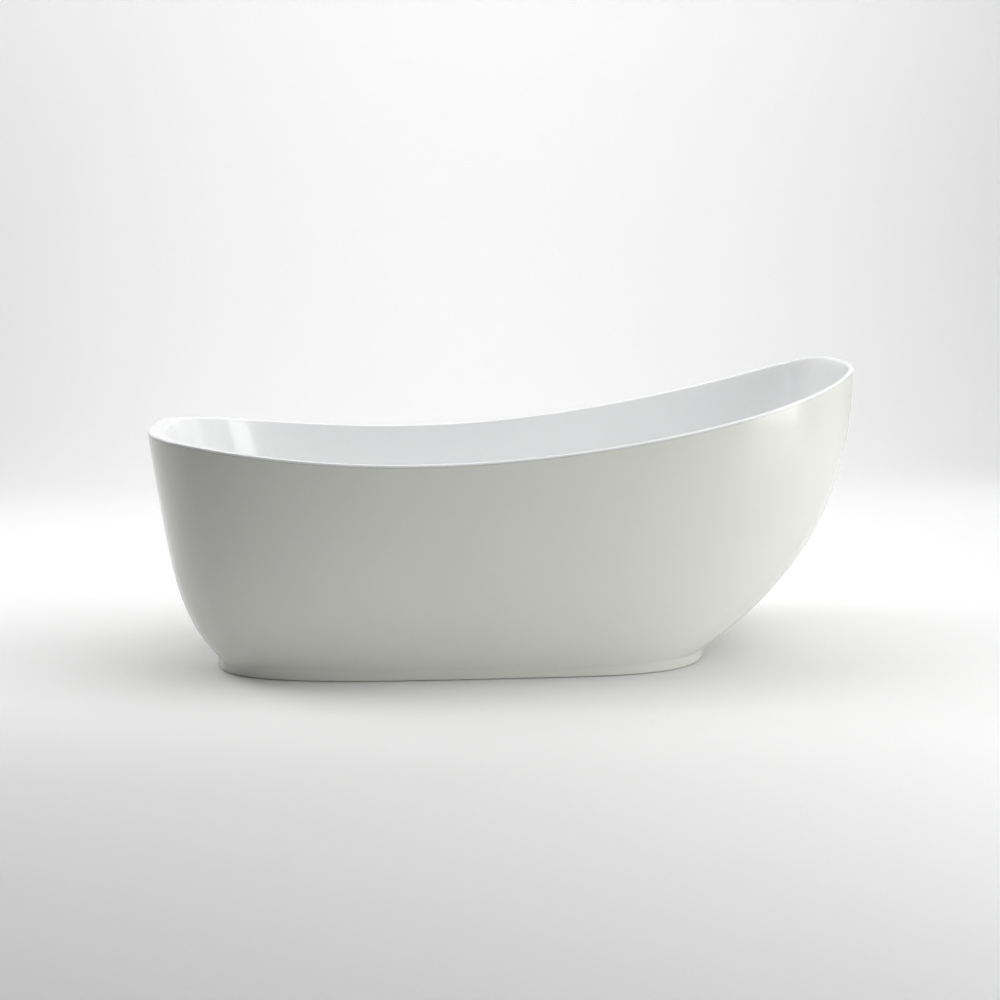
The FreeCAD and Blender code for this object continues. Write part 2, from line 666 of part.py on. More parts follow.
def drain_shoe():
    """Elbow under the drain, with a socket for the level waste pipe."""
    path = rounded_path([Vector(DRAIN_X, 0, SHANK_BOTTOM), Vector(DRAIN_X, 0, WASTE_HEIGHT),
                         Vector(SHOE_END_X, 0, WASTE_HEIGHT)], [WASTE_BEND])
    body = swept(path, SOCKET_RADIUS)
    body = body.fuse(cylinder(SHANK_RADIUS + SHOE_RIM_WALL, SHOE_RIM, LOCKNUT_BOTTOM - SOCKET_PLAY, DRAIN_X))
    body = body.cut(swept(path, WASTE_BORE))
    body = body.cut(cylinder(SHANK_RADIUS + FIT, SHANK_BOTTOM - SOCKET_PLAY, LOCKNUT_TOP, DRAIN_X))
    return body.cut(level_rod(WASTE_RADIUS + FIT, SHOE_END_X + SOCKET_DEPTH, SHOE_END_X - OVERCUT))


def waste_pipe():
    """Level pipe from the drain elbow to the tee."""
    start = SHOE_END_X + SOCKET_DEPTH - SOCKET_PLAY
    end = TEE_X + SOCKET_RADIUS + SOCKET_PLAY
    pipe = level_rod(WASTE_RADIUS, start, end)
    return pipe.cut(level_rod(WASTE_BORE, start + OVERCUT, end - OVERCUT))


def waste_tee():
    """Tee that joins the drain and the overflow above the tailpiece."""
    bottom, top = TEE_Z
    spigot_top = top + SPIGOT_LENGTH
    body = cylinder(SOCKET_RADIUS, bottom, top, TEE_X)
    body = body.fuse(level_rod(SOCKET_RADIUS, TEE_BRANCH_END, TEE_X))
    body = body.fuse(cylinder(HOSE_BORE - FIT, top - OVERCUT, spigot_top, TEE_X))
    body = body.cut(cylinder(TAILPIECE_NECK + FIT, bottom - OVERCUT, TAILPIECE_TOP + SOCKET_PLAY, TEE_X))
    body = body.cut(cylinder(WASTE_BORE, bottom, top - SOCKET_WALL, TEE_X))
    body = body.cut(cylinder(HOSE_BORE - SPIGOT_WALL, bottom, spigot_top + OVERCUT, TEE_X))
    body = body.cut(level_rod(WASTE_RADIUS + FIT, TEE_BRANCH_END + OVERCUT, TEE_X + SOCKET_RADIUS))
    return body.cut(level_rod(WASTE_BORE, TEE_BRANCH_END, TEE_X))


def tailpiece():
    """Outlet stub of standard waste tube, with a reduced neck glued into the tee."""
    return revolved([(WASTE_BORE, TAILPIECE_Z[0]), (WASTE_RADIUS, TAILPIECE_Z[0]),
                     (WASTE_RADIUS, TAILPIECE_Z[1]), (TAILPIECE_NECK, TAILPIECE_Z[1]),
                     (TAILPIECE_NECK, TAILPIECE_TOP), (WASTE_BORE, TAILPIECE_TOP)], TEE_X)


def slip_nuts():
    """Ribbed nuts round the sockets at both ends of the level waste pipe."""
    flats = 2 * (SOCKET_RADIUS + SLIP_NUT_WALL)
    nuts = []
    for start_x in (SHOE_END_X + SLIP_NUT_LENGTH, TEE_BRANCH_END):
        ribbed = nut(flats, SOCKET_RADIUS + FIT, 0, SLIP_NUT_LENGTH, sides=12)
        ribbed.Placement = Placement(Vector(start_x, 0, WASTE_HEIGHT), Rotation(Z_AXIS, -X_AXIS))
        nuts.append(ribbed)
    return Part.makeCompound(nuts)


# ---- overflow ----------------------------------------------------------------------
CHAMBER_MIDDLE = (CHAMBER_Z[0] + OVERFLOW_SHANK_END) / 2


def basin_foot_x(z):
    """x of the basin's foot wall on the centre line at z."""
    return hull_oval(z)[0] + basin_insets(z, 0.0)[0]


def overflow_place(shape):
    """Put a shape made about the upright axis on the foot wall, its top facing the bather."""
    lean = basin_foot_x(OVERFLOW_HEIGHT + 0.5) - basin_foot_x(OVERFLOW_HEIGHT - 0.5)
    normal = Vector(1, 0, -lean).normalize()
    placed = shape.copy()
    placed.Placement = Placement(Vector(basin_foot_x(OVERFLOW_HEIGHT), 0, OVERFLOW_HEIGHT),
                                 Rotation(Z_AXIS, normal)).multiply(placed.Placement)
    return placed


def overflow_flange():
    """Flanged throat through the foot wall."""
    face = OVERFLOW_SEAL + OVERFLOW_FLANGE_THICKNESS
    return revolved([(OVERFLOW_THROAT, OVERFLOW_SHANK_END), (OVERFLOW_SHANK, OVERFLOW_SHANK_END),
                     (OVERFLOW_SHANK, OVERFLOW_SEAL), (OVERFLOW_FLANGE_RADIUS, OVERFLOW_SEAL),
                     (OVERFLOW_FLANGE_RADIUS, face - OVERFLOW_FLANGE_CHAMFER),
                     (OVERFLOW_FLANGE_RADIUS - OVERFLOW_FLANGE_CHAMFER, face), (OVERFLOW_THROAT, face)])


def overflow_cover():
    """Dished round cover that stands off the flange on three pegs."""
    cover = revolved(COVER_OUTLINE)
    flange_face = OVERFLOW_SEAL + OVERFLOW_FLANGE_THICKNESS
    back = COVER_OUTLINE[0][1]
    for degrees in COVER_PEG_ANGLES:
        angle = math.radians(degrees)
        peg = cylinder(COVER_PEG_RADIUS, flange_face, back + OVERCUT,
                       COVER_PEG_CIRCLE * math.cos(angle), COVER_PEG_CIRCLE * math.sin(angle))
        cover = cover.fuse(peg)
    return cover


def overflow_front_seal():
    """Rubber ring between the flange and the wall's face."""
    return ring(OVERFLOW_FLANGE_RADIUS - SEAL_INSET, OVERFLOW_SHANK + FIT, GLUE_GAP, OVERFLOW_SEAL)


def overflow_rear_seal():
    """Rubber ring between the wall's back and the lock nut."""
    outer = CHAMBER_RADIUS + REAR_SEAL_WIDTH
    return ring(outer, OVERFLOW_SHANK + FIT, -OVERFLOW_WALL - OVERFLOW_SEAL, -OVERFLOW_WALL)


def overflow_locknut():
    """Eight-sided nut behind the wall."""
    top = -OVERFLOW_WALL - OVERFLOW_SEAL
    return nut(OVERFLOW_NUT_FLATS, OVERFLOW_SHANK + FIT, top - OVERFLOW_NUT_HEIGHT, top, sides=8)


def chamber_rod(radius, length):
    """Bar down the wall from the middle of the overflow's chamber."""
    return Part.makeCylinder(radius, length, Vector(0, 0, CHAMBER_MIDDLE), X_AXIS)


def overflow_elbow():
    """Round chamber behind the wall with an outlet spigot pointing down."""
    wall = CHAMBER_RADIUS - OVERFLOW_SHANK
    outlet = HOSE_START + SPIGOT_LENGTH
    body = cylinder(CHAMBER_RADIUS, CHAMBER_Z[0], CHAMBER_Z[1])
    body = body.fuse(chamber_rod(HOSE_BORE - FIT, outlet))
    body = body.cut(cylinder(OVERFLOW_SHANK + FIT, CHAMBER_Z[0] + wall, CHAMBER_Z[1] + OVERCUT))
    return body.cut(chamber_rod(HOSE_BORE - SPIGOT_WALL, outlet + OVERCUT))


def hose_path():
    """Centre line of the overflow hose, from the elbow down between the shells to the tee."""
    start, lead = [overflow_place(Part.Vertex(Vector(x, 0, CHAMBER_MIDDLE))).Point
                   for x in (HOSE_START, HOSE_START + HOSE_LEAD)]
    above_tee = Vector(TEE_X, 0, TEE_Z[1] + HOSE_RISE)
    end = Vector(TEE_X, 0, TEE_Z[1] + HOSE_END_GAP)
    return rounded_path([start, lead, HOSE_MIDDLE, above_tee, end], HOSE_BENDS)


def overflow_hose():
    """Flexible hose pushed over the spigots of the elbow and the tee."""
    path = hose_path()
    return swept(path, HOSE_RADIUS).cut(swept(path, HOSE_BORE))


# ---- write every piece -------------------------------------------------------------
PIECES = {
    "outer_shell": outer_shell,
    "inner_shell": inner_shell,
    "rim_bond": rim_bond,
    "floor_laminate": floor_laminate,
    "floor_board": floor_board,
    "crossbar_foot": lambda: crossbar(CROSSBAR_X[0]),
    "crossbar_head": lambda: crossbar(CROSSBAR_X[1]),
    "rail_front": lambda: rail(-1),
    "rail_back": lambda: rail(1),
    "fixing_tabs": fixing_tabs,
    "board_screws": board_screws,
    "tube_plugs": tube_plugs,
    "weld_nuts": weld_nuts,
    "lock_nuts": lock_nuts,
    "skirt_blocks": skirt_blocks,
    "skirt_brackets": skirt_brackets,
    "bracket_screws": bracket_screws,
    "drain_flange": drain_flange,
    "drain_gasket": drain_gasket,
    "drain_washer": drain_washer,
    "drain_locknut": drain_locknut,
    "stopper_cap": stopper_cap,
    "stopper_seal": stopper_seal,
    "stopper_stem": stopper_stem,
    "drain_shoe": drain_shoe,
    "waste_pipe": waste_pipe,
    "waste_tee": waste_tee,
    "tailpiece": tailpiece,
    "slip_nuts": slip_nuts,
    "overflow_flange": lambda: overflow_place(overflow_flange()),
    "overflow_cover": lambda: overflow_place(overflow_cover()),
    "overflow_front_seal": lambda: overflow_place(overflow_front_seal()),
    "overflow_rear_seal": lambda: overflow_place(overflow_rear_seal()),
    "overflow_locknut": lambda: overflow_place(overflow_locknut()),
    "overflow_elbow": lambda: overflow_place(overflow_elbow()),
    "overflow_hose": overflow_hose,
}
FOOT_NAMES = ("foot_end_front", "foot_end_back", "head_end_front", "head_end_back")
for foot_name, (foot_x, foot_y) in zip(FOOT_NAMES, foot_places()):
    PIECES[foot_name + "_stud"] = lambda x=foot_x, y=foot_y: foot_stud(x, y)
    PIECES[foot_name + "_pad"] = lambda x=foot_x, y=foot_y: foot_pad(x, y)

os.makedirs("parts", exist_ok=True)
for name, make in PIECES.items():
    shape = make()
    shape.exportStep("parts/" + name + ".step")
    print(name, "valid" if shape.isValid() else "BROKEN", len(shape.Solids), "solids",
          round(shape.Volume / 1000, 2), "cm3")
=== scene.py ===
import json
import math

import bmesh
import bpy
from mathutils import Matrix, Vector


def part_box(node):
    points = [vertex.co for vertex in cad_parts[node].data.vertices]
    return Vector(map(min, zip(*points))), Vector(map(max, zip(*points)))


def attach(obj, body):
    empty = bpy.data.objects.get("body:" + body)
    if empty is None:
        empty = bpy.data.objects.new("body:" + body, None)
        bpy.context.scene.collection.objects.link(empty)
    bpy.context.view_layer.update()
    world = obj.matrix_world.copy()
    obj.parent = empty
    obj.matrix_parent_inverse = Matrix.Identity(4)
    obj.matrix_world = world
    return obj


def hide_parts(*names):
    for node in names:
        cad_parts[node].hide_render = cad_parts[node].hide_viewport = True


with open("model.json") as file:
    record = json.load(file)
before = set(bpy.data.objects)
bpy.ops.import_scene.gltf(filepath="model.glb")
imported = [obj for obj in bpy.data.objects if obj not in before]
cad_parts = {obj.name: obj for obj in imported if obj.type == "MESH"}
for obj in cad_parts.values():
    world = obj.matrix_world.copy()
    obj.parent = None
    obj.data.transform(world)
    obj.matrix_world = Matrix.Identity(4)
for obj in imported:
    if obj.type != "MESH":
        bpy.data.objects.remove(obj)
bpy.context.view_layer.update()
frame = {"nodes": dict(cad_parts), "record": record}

# ---- driving dimensions, metres ------------------------------------------------------
# The body's outlines are Bezier control values, evenly spaced in height between the
# plinth top and the hull top; the rim's are evenly spaced along the tub. The squareness
# and the widest station are given at the plinth top and at the hull top.
TUB_LENGTH = 1.700
SKIRT_GAP = 0.002              # the skirt's bottom edge above the floor
PLINTH_TOP = 0.025
HULL_TOP = 0.745               # the surface is defined up to here, and the rim lies below it
FOOT_PROFILE = (-0.700, -0.862, -0.767, -0.904, -0.830)
HEAD_PROFILE = (0.499, 0.757, 0.833, 0.859, 0.848)
HALF_WIDTHS = (0.320, 0.396, 0.384, 0.403, 0.400)
FOOT_SQUARENESS = (4.15, 3.1)
HEAD_SQUARENESS = (3.15, 3.3)
WIDEST_STATION = (0.092, 0.030)
RIM_HEIGHTS = (0.569, 0.536, 0.482, 0.503, 0.560, 0.589, 0.720)

# The skirt.
SKIRT_THICKNESS = 0.004
SKIRT_CHAMFER = 0.001          # on the bottom edge
CREASE_RADIUS = 0.0015         # where the body meets the plinth band
CREASE_FILL = 0.1              # how far the crease is filled out, as a share of its radius
FLANGE_WIDTH = 0.025           # turned in along the floor
FLANGE_THICKNESS = 0.005

# The basin and its rim.
BASIN_THICKNESS = 0.0045
LIP_HEIGHT = 0.006             # the rim's outer face, which covers the skirt's top edge
LIP_JOINT = 0.0005             # the fine gap below it
LIP_HOLD = 0.8                 # share of the lip at which a ring of points keeps it upright
RIM_WIDTH = {"foot": 0.038, "side": 0.0125, "head": 0.011}
RIM_TOP_SHARES = (0.35, 0.65)  # where rings of points run along the rim's flat top
OUTER_EDGE_RADIUS = 0.005
INNER_EDGE_RADIUS = 0.005
FOOT_WALL_LEAN = 0.22
WALL_SPREAD = 0.030            # how much further in the walls are at the floor than at the top
SPREAD_TOP = 0.480
FLOOR_HEIGHT = 0.130
FLOOR_RADIUS = 0.110
FLOOR_CROWDING = 0.8           # below 1, the floor's rings are closer near the drain
DRAIN_HOLE = 0.02205
OVERFLOW_HEIGHT = 0.440
OVERFLOW_HOLE = 0.016
OVERFLOW_REACH = 0.040         # a rod this long each way passes right through the foot wall

# The overflow hose.
HOSE_RADIUS = 0.014
HOSE_BORE = 0.012
HOSE_RIB_PITCH = 0.0045
HOSE_RIB_DEPTH = 0.0011
HOSE_ROUTE_MIDDLE = Vector((-0.712, 0.0, 0.190))
HOSE_LEAD = 0.070              # straight on from the overflow
HOSE_RISE = 0.032              # straight up from the tee

# The M12 levelling studs. The thread's height, as a share of its depth, is the flank top
# less the slope times the distance from the crest's middle in pitches, held within 0 to 1.
THREAD_PITCH = 0.00175
THREAD_DEPTH = 0.00095
FLANK_TOP = 1.25
FLANK_SLOPE = 2.5
STUD_RADIUS = 0.006
STUD_CHAMFER = 0.001
COLLAR_FLATS = 0.017
COLLAR_Z = (0.016, 0.023)
COLLAR_BEVEL = 0.0007
COLLAR_INSIDE = 0.8            # the collar's faces start here, as a share of the stud's radius

# Mesh points round the tub and round each round piece.
AROUND = 320
HOLE_AROUND = 64
HOSE_AROUND = 32
STUD_AROUND = 32

RIM_SEARCH_ROUNDS = 12         # each brings a height closer to the rim line
STUD_POINT_GAP = 1e-7          # points closer than this are joined
CAD_POINT_GAP = 0.000005

# The photograph's camera, fitted to the outline: its distance from the tub's middle, its
# height, directions and step to the side, and its lens in millimetres.
CAMERA_DISTANCE = 3.7695
CAMERA_HEIGHT = 0.9964
CAMERA_AZIMUTH = math.radians(5.17)
CAMERA_TILT = math.radians(9.426)
CAMERA_SIDESTEP = -0.0019
CAMERA_LENS = 55.07

# The studio.
STAGE_FRONT = -9.0             # where the floor starts, in front of the camera
STAGE_BACK = 2.6               # where the floor starts to sweep up
STAGE_CURVE = 2.2
STAGE_HEIGHT = 8.0
STAGE_HALF_WIDTH = 10.0
STUDIO_PAINT = (0.89, 0.89, 0.89)
WORLD_STRENGTH = 0.02


# ---- the body's surface --------------------------------------------------------------
def bezier(values, t):
    degree = len(values) - 1
    return sum(math.comb(degree, k) * t**k * (1 - t)**(degree - k) * v
               for k, v in enumerate(values))


def between(pair, t):
    return pair[0] + (pair[1] - pair[0]) * t


def rim_height(x):
    return bezier(RIM_HEIGHTS, x / TUB_LENGTH + 0.5)


def body_point(angle, z, insets=(0.0, 0.0, 0.0)):
    """Point of the body's surface at an angle round the tub and a height, moved in by
    foot, side and head insets."""
    foot_inset, side_inset, head_inset = insets
    t = (max(z, PLINTH_TOP) - PLINTH_TOP) / (HULL_TOP - PLINTH_TOP)
    middle = between(WIDEST_STATION, t)
    c = math.cos(angle)
    s = math.sin(angle)
    if c > 0:
        power = between(HEAD_SQUARENESS, t)
        half = bezier(HEAD_PROFILE, t) - head_inset - middle
    else:
        power = between(FOOT_SQUARENESS, t)
        half = middle - bezier(FOOT_PROFILE, t) - foot_inset
    reach = (abs(c)**power + abs(s)**power)**(-1 / power)
    width = bezier(HALF_WIDTHS, t) - side_inset
    return Vector((middle + half * c * reach, width * s * reach, z))


def basin_insets(z, wall=0.0):
    """How far the basin's surface lies inside the body at z; wall moves it outwards."""
    spread = WALL_SPREAD * max(0.0, (SPREAD_TOP - z) / (SPREAD_TOP - FLOOR_HEIGHT))**2
    radius = FLOOR_RADIUS + wall
    rise = z - (FLOOR_HEIGHT - wall)
    cove = radius - math.sqrt(max(0.0, radius**2 - max(0.0, radius - rise)**2))
    lean = FOOT_WALL_LEAN * (RIM_HEIGHTS[0] - z)
    return (RIM_WIDTH["foot"] + lean + cove - wall,
            RIM_WIDTH["side"] + spread + cove - wall,
            RIM_WIDTH["head"] + spread + cove - wall)


def back_insets(z):
    """The same for the basin's back, one wall thickness further out."""
    return basin_insets(z, BASIN_THICKNESS)


def same_inset(amount):
    """Insets that are the same all round and at every height."""
    return lambda z: (amount, amount, amount)


def height_under_rim(angle, drop, insets_at):
    """Height at which the inset surface meets the rim line lowered by drop."""
    z = RIM_HEIGHTS[0]
    for _ in range(RIM_SEARCH_ROUNDS):
        z = rim_height(body_point(angle, z, insets_at(z)).x) - drop
    return z


# Round the tub, half a step off its middle line.
ANGLES = [2 * math.pi * (k + 0.5) / AROUND for k in range(AROUND)]


def circle_angles(count):
    return [2 * math.pi * k / count for k in range(count)]


def circle_point(x, y, radius, angle, z):
    return Vector((x + radius * math.cos(angle), y + radius * math.sin(angle), z))


# ---- mesh helpers --------------------------------------------------------------------
def mesh_object(name, vertices, faces, smooth_angle=40.0):
    mesh = bpy.data.meshes.new(name)
    mesh.from_pydata([tuple(v) for v in vertices], [], faces)
    mesh.validate()
    mesh.shade_smooth()
    mesh.set_sharp_from_angle(angle=math.radians(smooth_angle))
    obj = bpy.data.objects.new(name, mesh)
    bpy.context.scene.collection.objects.link(obj)
    return obj


def ring_faces(ring_count, around, closed):
    """Quads between rings of points; closed joins the last ring to the first."""
    faces = []
    for i in range(ring_count if closed else ring_count - 1):
        low = i * around
        high = (i + 1) % ring_count * around
        for k in range(around):
            after = (k + 1) % around
            faces.append((low + k, low + after, high + after, high + k))
    return faces


def lofted(name, rings):
    """Piece whose skin runs over the rings and from the last back to the first."""
    vertices = [point for ring in rings for point in ring]
    return mesh_object(name, vertices, ring_faces(len(rings), len(rings[0]), True))


def surface_ring(fraction, low, drop, insets_at):
    """Ring of points at a fraction of the way from height low up to the lowered rim."""
    ring = []
    for angle in ANGLES:
        top = height_under_rim(angle, drop, insets_at)
        z = low + (top - low) * fraction
        ring.append(body_point(angle, z, insets_at(z)))
    return ring


def level_ring(z, insets_at):
    return [body_point(angle, z, insets_at(z)) for angle in ANGLES]


# ---- shells --------------------------------------------------------------------------
def skirt_rings():
    """The skirt's section from its bottom edge up the outside, over and down the inside."""
    outer_steps = 56
    inner_steps = 16
    outside = same_inset(0.0)
    inside = same_inset(SKIRT_THICKNESS)
    flange_edge = same_inset(SKIRT_THICKNESS + FLANGE_WIDTH)
    # the upright plinth band
    rings = [level_ring(SKIRT_GAP, same_inset(SKIRT_CHAMFER)),
             level_ring(SKIRT_GAP + SKIRT_CHAMFER, outside),
             level_ring(SKIRT_GAP + 2 * SKIRT_CHAMFER, outside),
             level_ring(PLINTH_TOP / 2, outside)]
    # a small hollow fillet between the band and the flare above it
    rings.append(level_ring(PLINTH_TOP - CREASE_RADIUS, outside))
    rings.append(level_ring(PLINTH_TOP, same_inset(-CREASE_RADIUS * CREASE_FILL)))
    # up to the joint below the rim, and down again
    low = PLINTH_TOP + CREASE_RADIUS
    drop = LIP_HEIGHT + LIP_JOINT
    rings += [surface_ring(k / outer_steps, low, drop, outside)
              for k in range(outer_steps + 1)]
    rings += [surface_ring(1 - k / inner_steps, PLINTH_TOP, drop, inside)
              for k in range(inner_steps + 1)]
    flange_top = SKIRT_GAP + FLANGE_THICKNESS
    rings += [level_ring(flange_top, inside), level_ring(flange_top, flange_edge),
              level_ring(SKIRT_GAP, flange_edge)]
    return rings


def rounded_edge(radius, share):
    """(distance in, drop) at a share of the way round a rounded edge, from side to top."""
    turn = math.pi / 2 * share
    return radius * (1 - math.cos(turn)), radius * (1 - math.sin(turn))


def rim_rings():
    """Across the top of the rim, from its outer lower edge to its inner edge."""
    edge_steps = 6
    edge = [k / edge_steps for k in range(edge_steps + 1)]
    outer_insets = same_inset(0.0)
    # Each ring is a distance in from the rim's outer or inner edge, or a share of the way
    # across, and a drop below the rim line.
    profile = [("outer", 0.0, LIP_HEIGHT), ("outer", 0.0, LIP_HEIGHT * LIP_HOLD)]
    profile += [("outer", *rounded_edge(OUTER_EDGE_RADIUS, share)) for share in edge]
    profile += [("share", share, 0.0) for share in RIM_TOP_SHARES]
    profile += [("inner", *rounded_edge(INNER_EDGE_RADIUS, share)) for share in edge[::-1]]
    rings = [[] for _ in profile]
    for angle in ANGLES:
        outer_top = height_under_rim(angle, 0.0, outer_insets)
        outside = body_point(angle, outer_top)
        inner_top = height_under_rim(angle, 0.0, basin_insets)
        inside = body_point(angle, inner_top, basin_insets(inner_top))
        across = inside - outside
        width = math.hypot(across.x, across.y)
        for ring, (kind, amount, drop) in zip(rings, profile):
            if kind == "outer":
                share = amount / width
            elif kind == "inner":
                share = 1 - amount / width
            else:
                share = amount
            point = outside + across * share
            point.z = rim_height(point.x) - drop
            ring.append(point)
    return rings


def basin_rings():
    """The basin's section: over the rim, down the wall, across the floor to the drain
    hole, and back underneath to the rim."""
    wall_steps = 40
    cove_steps = 16
    back_steps = 16
    cove_top = FLOOR_HEIGHT + FLOOR_RADIUS
    rings = rim_rings()
    rings += [surface_ring(1 - k / wall_steps, cove_top, INNER_EDGE_RADIUS, basin_insets)
              for k in range(1, wall_steps)]
    # heights in the cove between wall and floor, as shares of its radius
    cove = [1 - math.sin(math.pi / 2 * k / cove_steps) for k in range(cove_steps + 1)]
    rings += [level_ring(FLOOR_HEIGHT + FLOOR_RADIUS * rise, basin_insets) for rise in cove]
    rings += floor_rings(rings[-1], FLOOR_HEIGHT, False)
    under = FLOOR_HEIGHT - BASIN_THICKNESS
    back_radius = FLOOR_RADIUS + BASIN_THICKNESS
    rings += floor_rings(level_ring(under, back_insets), under, True)
    rings += [level_ring(under + back_radius * rise, back_insets) for rise in cove[::-1]]
    rings += [surface_ring(k / back_steps, cove_top, LIP_HEIGHT, back_insets)
              for k in range(1, back_steps + 1)]
    return rings


def drain_centre():
    low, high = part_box("drain_flange")
    return Vector(((low[0] + high[0]) / 2, (low[1] + high[1]) / 2, 0.0))


def floor_rings(edge, z, outwards):
    """Rings that fill the flat floor between its edge and the drain hole, from the edge
    inwards, or outwards from the hole."""
    steps = 14
    centre = drain_centre()
    hole = [centre + Vector((math.cos(a), math.sin(a), 0.0)) * DRAIN_HOLE for a in ANGLES]
    rings = []
    for k in range(1, steps + 1):
        share = (k / steps)**FLOOR_CROWDING
        rings.append([Vector((start.x + (end.x - start.x) * share,
                              start.y + (end.y - start.y) * share, z))
                      for start, end in zip(edge, hole)])
    return rings[::-1] if outwards else rings


# ---- materials -----------------------------------------------------------------------
# Nearly all of a noise texture's values lie between these.
NOISE_LOW = 0.3
NOISE_HIGH = 0.7


class Shading:
    """A Principled material and short ways to add the nodes that vary it."""

    def __init__(self, name, colour, roughness, metallic=0.0, **sockets):
        self.material = bpy.data.materials.new(name)
        self.material.use_nodes = True
        self.tree = self.material.node_tree
        self.shader = self.tree.nodes["Principled BSDF"]
        self.set("Base Color", (*colour, 1.0))
        self.set("Roughness", roughness)
        self.set("Metallic", metallic)
        for socket, value in sockets.items():
            self.set(socket.replace("_", " "), value)
        self.place = self.tree.nodes.new("ShaderNodeTexCoord").outputs["Object"]

    def set(self, socket, value):
        self.shader.inputs[socket].default_value = value

    def stretched(self, scale):
        """Object coordinates scaled differently along each axis."""
        node = self.tree.nodes.new("ShaderNodeMapping")
        node.inputs["Scale"].default_value = scale
        self.tree.links.new(self.place, node.inputs["Vector"])
        return node.outputs["Vector"]

    def noise(self, scale, detail=2.0, place=None, distortion=0.0):
        node = self.tree.nodes.new("ShaderNodeTexNoise")
        node.inputs["Scale"].default_value = scale
        node.inputs["Detail"].default_value = detail
        node.inputs["Distortion"].default_value = distortion
        self.tree.links.new(place or self.place, node.inputs["Vector"])
        return node.outputs["Fac"]

    def cells(self, scale, place, output):
        node = self.tree.nodes.new("ShaderNodeTexVoronoi")
        node.inputs["Scale"].default_value = scale
        self.tree.links.new(place, node.inputs["Vector"])
        return node.outputs[output]

    def vary_colour(self, value, *stops):
        """Base colour from a value through (position, colour) stops."""
        node = self.tree.nodes.new("ShaderNodeValToRGB")
        elements = node.color_ramp.elements
        while len(elements) < len(stops):
            elements.new(0.5)
        for element, (position, colour) in zip(elements, stops):
            element.position = position
            element.color = (*colour, 1.0)
        self.tree.links.new(value, node.inputs["Fac"])
        self.tree.links.new(node.outputs["Color"], self.shader.inputs["Base Color"])

    def vary_roughness(self, value, low, high, start=NOISE_LOW, end=NOISE_HIGH):
        """Roughness from low to high as a value goes from start to end."""
        node = self.tree.nodes.new("ShaderNodeMapRange")
        node.inputs["From Min"].default_value = start
        node.inputs["From Max"].default_value = end
        node.inputs["To Min"].default_value = low
        node.inputs["To Max"].default_value = high
        self.tree.links.new(value, node.inputs["Value"])
        self.tree.links.new(node.outputs["Result"], self.shader.inputs["Roughness"])

    def bump(self, height, depth, strength):
        """Surface relief of a depth in metres, laid over any earlier one."""
        node = self.tree.nodes.new("ShaderNodeBump")
        node.inputs["Strength"].default_value = strength
        node.inputs["Distance"].default_value = depth
        self.tree.links.new(height, node.inputs["Height"])
        normal = self.shader.inputs["Normal"]
        if normal.is_linked:
            self.tree.links.new(normal.links[0].from_socket, node.inputs["Normal"])
        self.tree.links.new(node.outputs["Normal"], normal)


def acrylic(name, low, high):
    """Polished cast acrylic: white with a faint cloudiness, polishing haze in the gloss and
    the slight waviness of a sheet drawn over a mould."""
    look = Shading(name, high, 0.18, Coat_Weight=0.25, Coat_Roughness=0.05, IOR=1.45)
    look.vary_colour(look.noise(2.5, detail=3.0), (NOISE_LOW, low), (NOISE_HIGH, high))
    look.vary_roughness(look.noise(11.0, detail=6.0), 0.14, 0.22)
    look.bump(look.noise(7.0, detail=1.0), depth=0.0012, strength=0.35)
    look.bump(look.noise(900.0), depth=0.000006, strength=0.6)
    return look.material


def chrome_plate():
    """Bright chrome plate with fine wiping marks."""
    look = Shading("chrome", (0.80, 0.81, 0.83), 0.06, 1.0)
    marks = look.noise(40.0, detail=5.0, place=look.stretched((1.0, 1.0, 9.0)))
    look.vary_roughness(marks, 0.036, 0.102)
    look.bump(look.noise(260.0, detail=3.0), depth=0.000004, strength=0.5)
    return look.material


def zinc_plate():
    """Zinc plate: bright grey with the cloudy spangle of passivation."""
    look = Shading("zinc", (0.62, 0.64, 0.66), 0.3, 1.0)
    look.vary_colour(look.noise(90.0, detail=4.0), (0.3, (0.50, 0.52, 0.55)),
                     (0.55, (0.66, 0.67, 0.68)), (0.75, (0.70, 0.69, 0.63)))
    look.vary_roughness(look.noise(160.0, detail=4.0), 0.22, 0.42)
    look.bump(look.noise(700.0, detail=3.0), depth=0.00002, strength=0.5)
    return look.material


def turned_brass():
    """Machined brass with fine turning lines and a slight tarnish."""
    look = Shading("brass", (0.70, 0.50, 0.20), 0.25, 1.0)
    look.vary_colour(look.noise(60.0, detail=4.0), (0.35, (0.52, 0.36, 0.15)),
                     (0.65, (0.74, 0.55, 0.24)))
    look.vary_roughness(look.noise(120.0, detail=4.0), 0.18, 0.36)
    lines = look.noise(90.0, place=look.stretched((0.5, 0.5, 30.0)))
    look.bump(lines, depth=0.00002, strength=0.6)
    return look.material


def powder_coat():
    """Black powder coat: low orange-peel relief over a satin skin."""
    look = Shading("frame_paint", (0.022, 0.022, 0.024), 0.42)
    look.vary_colour(look.noise(30.0, detail=4.0), (NOISE_LOW, (0.016, 0.016, 0.018)),
                     (NOISE_HIGH, (0.032, 0.032, 0.034)))
    look.vary_roughness(look.noise(55.0, detail=5.0), 0.34, 0.54)
    look.bump(look.noise(420.0), depth=0.00009, strength=0.6)
    return look.material


def moulded(name, low, high, roughness):
    """Moulded plastic or rubber: an even colour with a fine moulded grain."""
    smooth_share = 0.8
    rough_share = 1.25
    look = Shading(name, high, roughness)
    look.vary_colour(look.noise(24.0, detail=4.0), (NOISE_LOW, low), (NOISE_HIGH, high))
    look.vary_roughness(look.noise(70.0, detail=5.0), roughness * smooth_share,
                        roughness * rough_share)
    look.bump(look.noise(1500.0, detail=3.0), depth=0.00002, strength=0.6)
    return look.material


